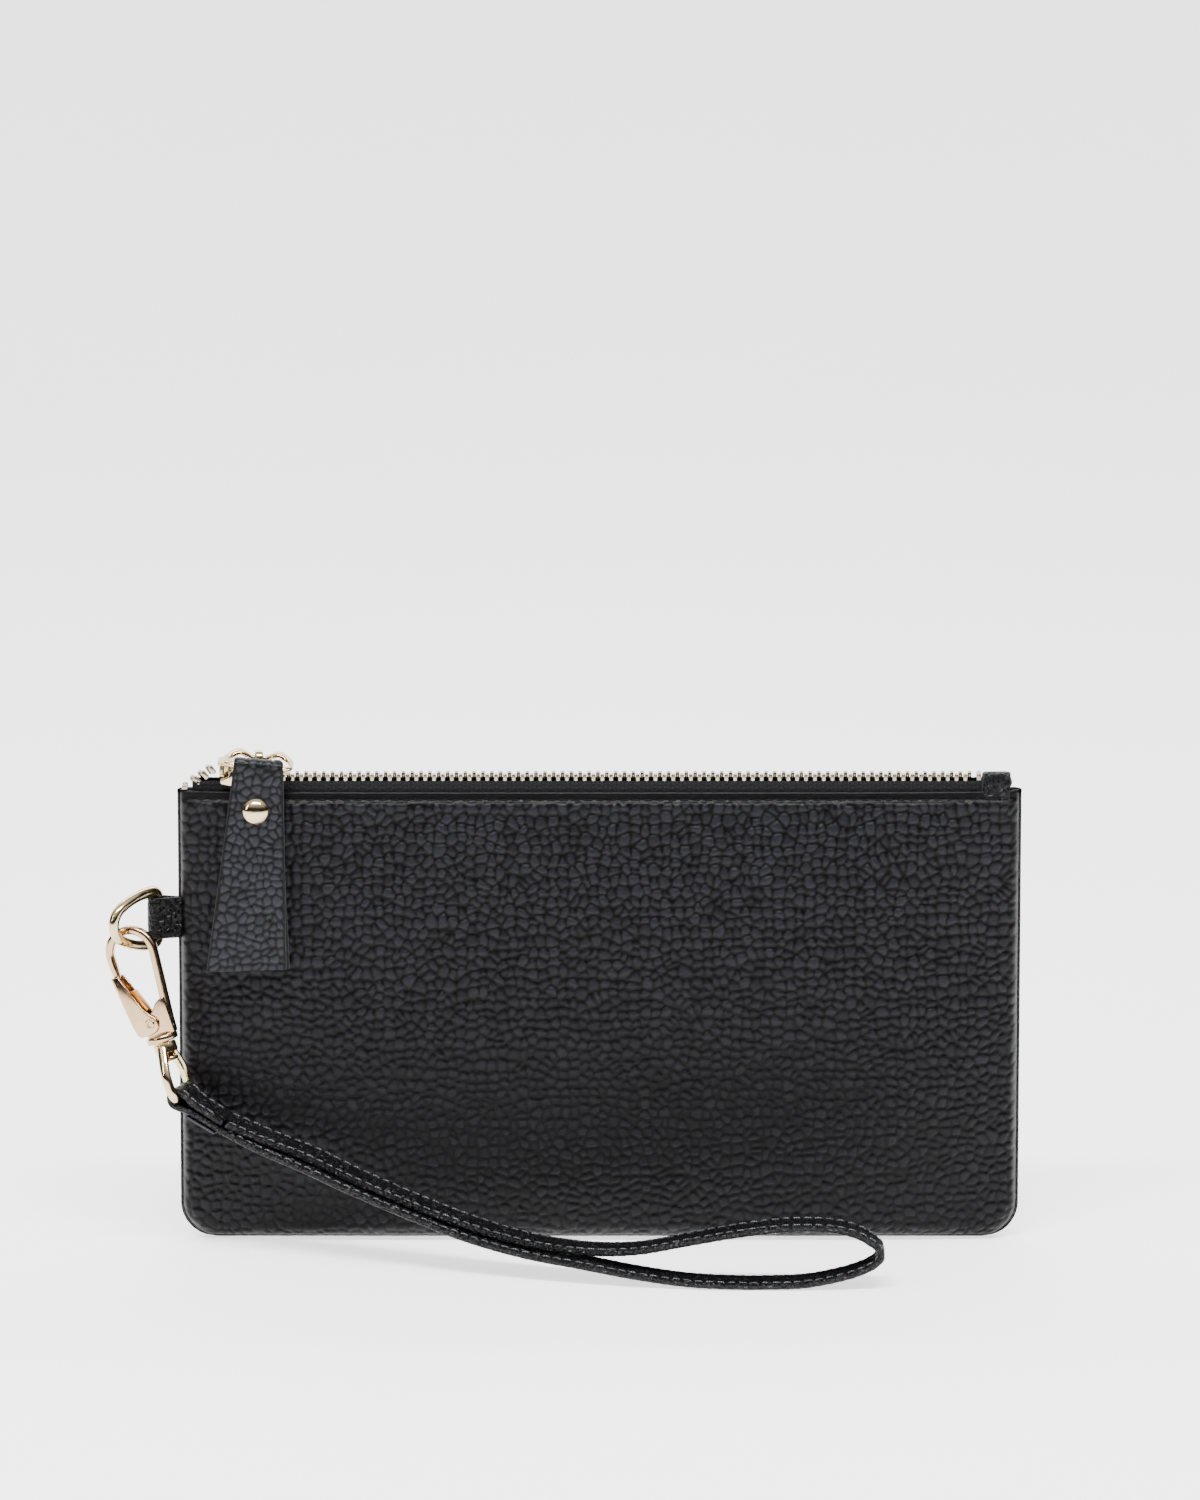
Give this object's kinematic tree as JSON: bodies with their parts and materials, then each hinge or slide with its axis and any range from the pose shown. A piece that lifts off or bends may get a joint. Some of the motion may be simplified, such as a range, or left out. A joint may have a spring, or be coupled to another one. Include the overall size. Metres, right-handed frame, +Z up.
{
  "type": "wristlet wallet",
  "caption": "Flat zip-top leather pouch with a leather-tabbed slider, a side ring tab, a swivel snap hook and a folded wrist strap.",
  "frame": {"origin": "middle of the bottom edge that the pouch stands on", "axes": "+X to the right along the zip, -Y the front, +Z up"},
  "size_m": [0.228, 0.063, 0.1248],
  "materials": {
    "leather": "pebbled, semi-gloss black",
    "lining": "plain black woven lining",
    "thread": "black sewing thread",
    "tape": "black herringbone zip tape",
    "teeth_metal": "pale gold plate",
    "pale_gold": "polished pale gold plate",
    "rose_gold": "polished champagne gold plate",
    "spring_bronze": "bare bronze"
  },
  "bodies": {
    "pouch": {"front_panel": "leather", "back_panel": "leather", "front_lining": "lining", "back_lining": "lining", "card_pocket": "lining", "edge_welt": "leather", "topstitch_front": "thread", "topstitch_back": "thread", "zip_tape_front": "tape", "zip_tape_back": "tape", "zip_teeth_front": "teeth_metal", "zip_teeth_back": "teeth_metal", "zip_top_stops": "teeth_metal", "zip_bottom_stop": "teeth_metal", "zip_end_tab": "leather", "ring_tab": "leather"},
    "slider": {"slider_body": "pale_gold", "slider_crown": "pale_gold"},
    "loop": {"pull_ring": "pale_gold"},
    "pull": {"pull_leather": "leather", "pull_rivet_cap": "pale_gold", "pull_rivet_post": "pale_gold"},
    "ring": {"d_ring": "pale_gold"},
    "hook": {"hook_body": "rose_gold", "gate_rivet": "rose_gold"},
    "gate": {"gate_lever": "rose_gold", "gate_spring": "spring_bronze"},
    "eye": {"swivel_eye": "pale_gold"},
    "strap_root": {"strap_end": "leather"},
    "strap": {"wrist_strap": "leather"}
  },
  "joints": [
    {"name": "slider_travel", "type": "slide", "parent": "pouch", "child": "slider", "axis": [1, 0, 0], "range_m": [0, 0.169]},
    {"name": "pull_ring_flip", "type": "hinge", "parent": "slider", "child": "loop", "pos_m": [-0.0846, 0, 0.12275], "axis": [0.9962, 0, -0.0872], "range_deg": [-160, 0]},
    {"name": "pull_flap", "type": "hinge", "parent": "loop", "child": "pull", "pos_m": [-0.08465, -0.00798, 0.12219], "axis": [0.9962, 0, -0.0872], "range_deg": [-100, 0]},
    {"name": "d_ring_swing", "type": "hinge", "parent": "pouch", "child": "ring", "pos_m": [-0.11015, 0, 0.08225], "axis": [0, 0, 1], "range_deg": [-95, 0]},
    {"name": "hook_swing", "type": "hinge", "parent": "ring", "child": "hook", "pos_m": [-0.1172, -0.007, 0.07705], "axis": [0.6568, 0.6568, -0.3703], "range_deg": [-35, 0]},
    {"name": "gate_open", "type": "hinge", "parent": "hook", "child": "gate", "pos_m": [-0.11108, -0.00961, 0.05743], "axis": [0.3355, 0.9418, -0.0204], "range_deg": [0, 20], "stiffness_Nm_per_rad": 0.02, "springref_deg": -5.73, "deforming": ["gate_spring"]},
    {"name": "swivel_turn", "type": "hinge", "parent": "hook", "child": "eye", "pos_m": [-0.1172, -0.007, 0.07705], "axis": [-0.3338, 0.1392, 0.9323], "continuous": true, "deforming": ["strap_end"]},
    {"name": "strap_lift", "type": "hinge", "parent": "eye", "child": "strap_root", "pos_m": [-0.10368, -0.01264, 0.03929], "axis": [0.3355, 0.9418, -0.0204], "range_deg": [-50, 0]},
    {"name": "strap_twist", "type": "hinge", "parent": "strap_root", "child": "strap", "pos_m": [-0.10368, -0.01264, 0.03929], "axis": [-0.3338, 0.1392, 0.9323], "continuous": true, "deforming": ["wrist_strap"]}
  ],
  "couplings": [
    {"joint": "strap_twist", "follows": "swivel_turn", "ratio": -1}
  ]
}
